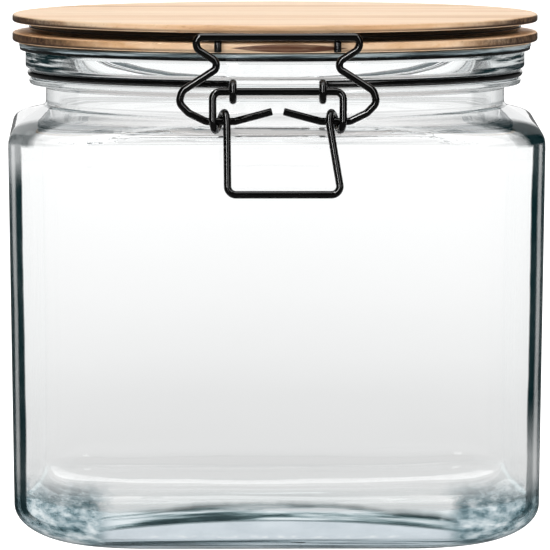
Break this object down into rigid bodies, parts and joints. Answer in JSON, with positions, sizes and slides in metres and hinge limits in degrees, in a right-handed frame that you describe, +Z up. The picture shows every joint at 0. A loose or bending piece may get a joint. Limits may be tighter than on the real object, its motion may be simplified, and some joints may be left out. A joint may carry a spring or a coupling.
{
  "type": "bail clamp jar",
  "caption": "Squat square glass storage jar with a round wooden lid on a rear wire hinge, held shut by an over-centre wire bail and lever.",
  "frame": {"origin": "middle of the jar's base, on the plane it stands on", "axes": "+Z up, -Y the front (latch side), +Y the rear (hinge side), +X to the right seen from the front"},
  "size_m": [0.1412, 0.1518, 0.139],
  "materials": {
    "glass": "clear gloss",
    "wood": "satin",
    "silicone": "satin",
    "black_wire": "gloss black"
  },
  "bodies": {
    "jar": {"glass_jar": "glass", "neck_ring_wire": "black_wire"},
    "lid": {"lid_upper_board": "wood", "lid_lower_board": "wood", "lid_gasket": "silicone", "lid_ring_wire": "black_wire"},
    "lever": {"lever_handle_wire": "black_wire"},
    "bail": {"bail_wire": "black_wire"}
  },
  "joints": [
    {"name": "lid_hinge", "type": "hinge", "parent": "jar", "child": "lid", "pos_m": [0, 0.0726, 0.1295], "axis": [-1, 0, 0], "range_deg": [0, 110]},
    {"name": "lever_pivot", "type": "hinge", "parent": "jar", "child": "lever", "pos_m": [0, -0.072, 0.1218], "axis": [-1, 0, 0], "range_deg": [0, 120]},
    {"name": "bail_swing", "type": "hinge", "parent": "lever", "child": "bail", "pos_m": [0, -0.0713, 0.114], "axis": [-1, 0, 0], "range_deg": [-150, 0]}
  ],
  "couplings": [
    {"joint": "bail_swing", "follows": "lever_pivot", "ratio": -1.25}
  ]
}
